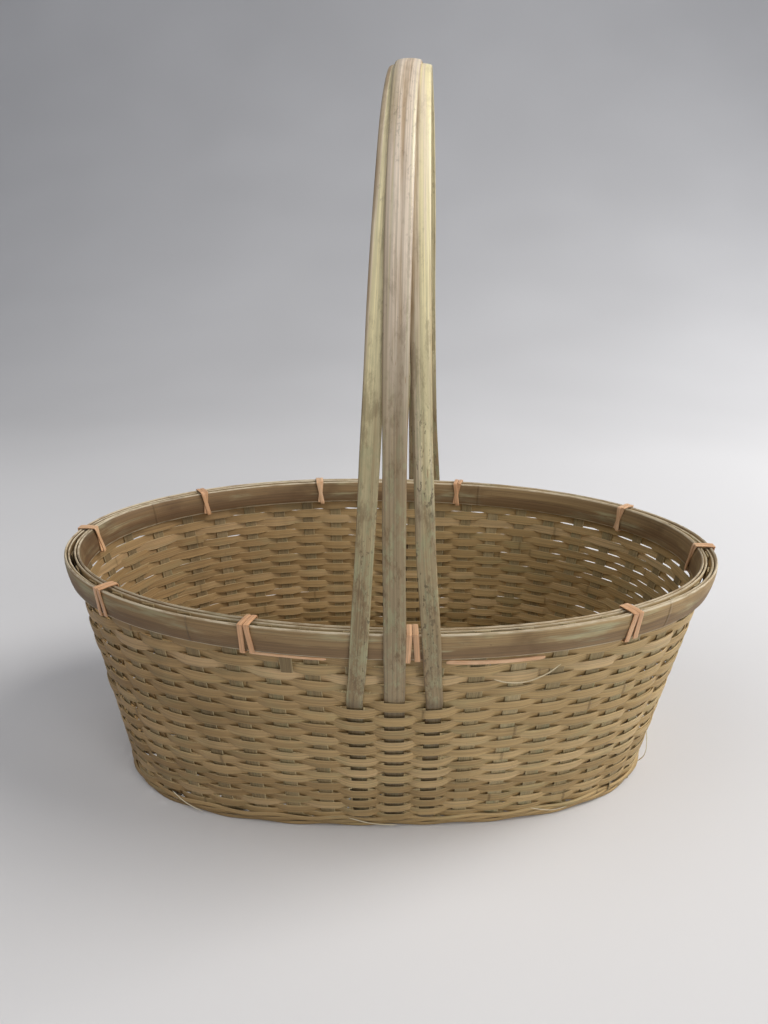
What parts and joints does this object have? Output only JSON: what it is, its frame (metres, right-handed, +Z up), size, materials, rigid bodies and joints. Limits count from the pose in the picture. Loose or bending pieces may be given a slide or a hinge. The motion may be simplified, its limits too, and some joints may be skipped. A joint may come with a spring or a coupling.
{
  "type": "woven market basket",
  "caption": "Oval woven bamboo market basket with splayed sides, a bound lath rim and a fixed overhead bow handle of bent laths.",
  "frame": {"origin": "on the resting face, under the middle of the basket", "axes": "+X along the long way of the basket, +Y to the back across it, +Z up"},
  "size_m": [0.4632, 0.3112, 0.458],
  "materials": {
    "woven_bamboo": "satin",
    "rim_bamboo": "satin",
    "handle_bamboo": "satin",
    "rattan": "satin"
  },
  "bodies": {
    "root": {"base_long_strips": "woven_bamboo", "base_cross_strips": "woven_bamboo", "front_stakes": "woven_bamboo", "back_stakes": "woven_bamboo", "left_stakes": "woven_bamboo", "right_stakes": "woven_bamboo", "foot_strand_lower": "woven_bamboo", "foot_strand_middle": "woven_bamboo", "foot_strand_upper": "woven_bamboo", "weaver_01": "woven_bamboo", "weaver_02": "woven_bamboo", "weaver_03": "woven_bamboo", "weaver_04": "woven_bamboo", "weaver_05": "woven_bamboo", "weaver_06": "woven_bamboo", "weaver_07": "woven_bamboo", "weaver_08": "woven_bamboo", "weaver_09": "woven_bamboo", "weaver_10": "woven_bamboo", "weaver_11": "woven_bamboo", "weaver_12": "woven_bamboo", "weaver_13": "woven_bamboo", "weaver_14": "woven_bamboo", "weaver_15": "woven_bamboo", "weaver_16": "woven_bamboo", "weaver_17": "woven_bamboo", "weaver_18": "woven_bamboo", "weaver_19": "woven_bamboo", "weaver_20": "woven_bamboo", "weaver_21": "woven_bamboo", "weaver_22": "woven_bamboo", "weaver_23": "woven_bamboo", "weaver_24": "woven_bamboo", "weaver_25": "woven_bamboo", "weaver_26": "woven_bamboo", "outer_hoop": "rim_bamboo", "outer_filler_lath": "rim_bamboo", "inner_filler_lath": "rim_bamboo", "inner_hoop": "rim_bamboo", "handle_left_lath": "handle_bamboo", "handle_middle_lath": "handle_bamboo", "handle_right_lath": "handle_bamboo", "rim_ties": "rattan", "binder_tail_left": "rattan", "binder_tail_right": "rattan"}
  },
  "joints": []
}
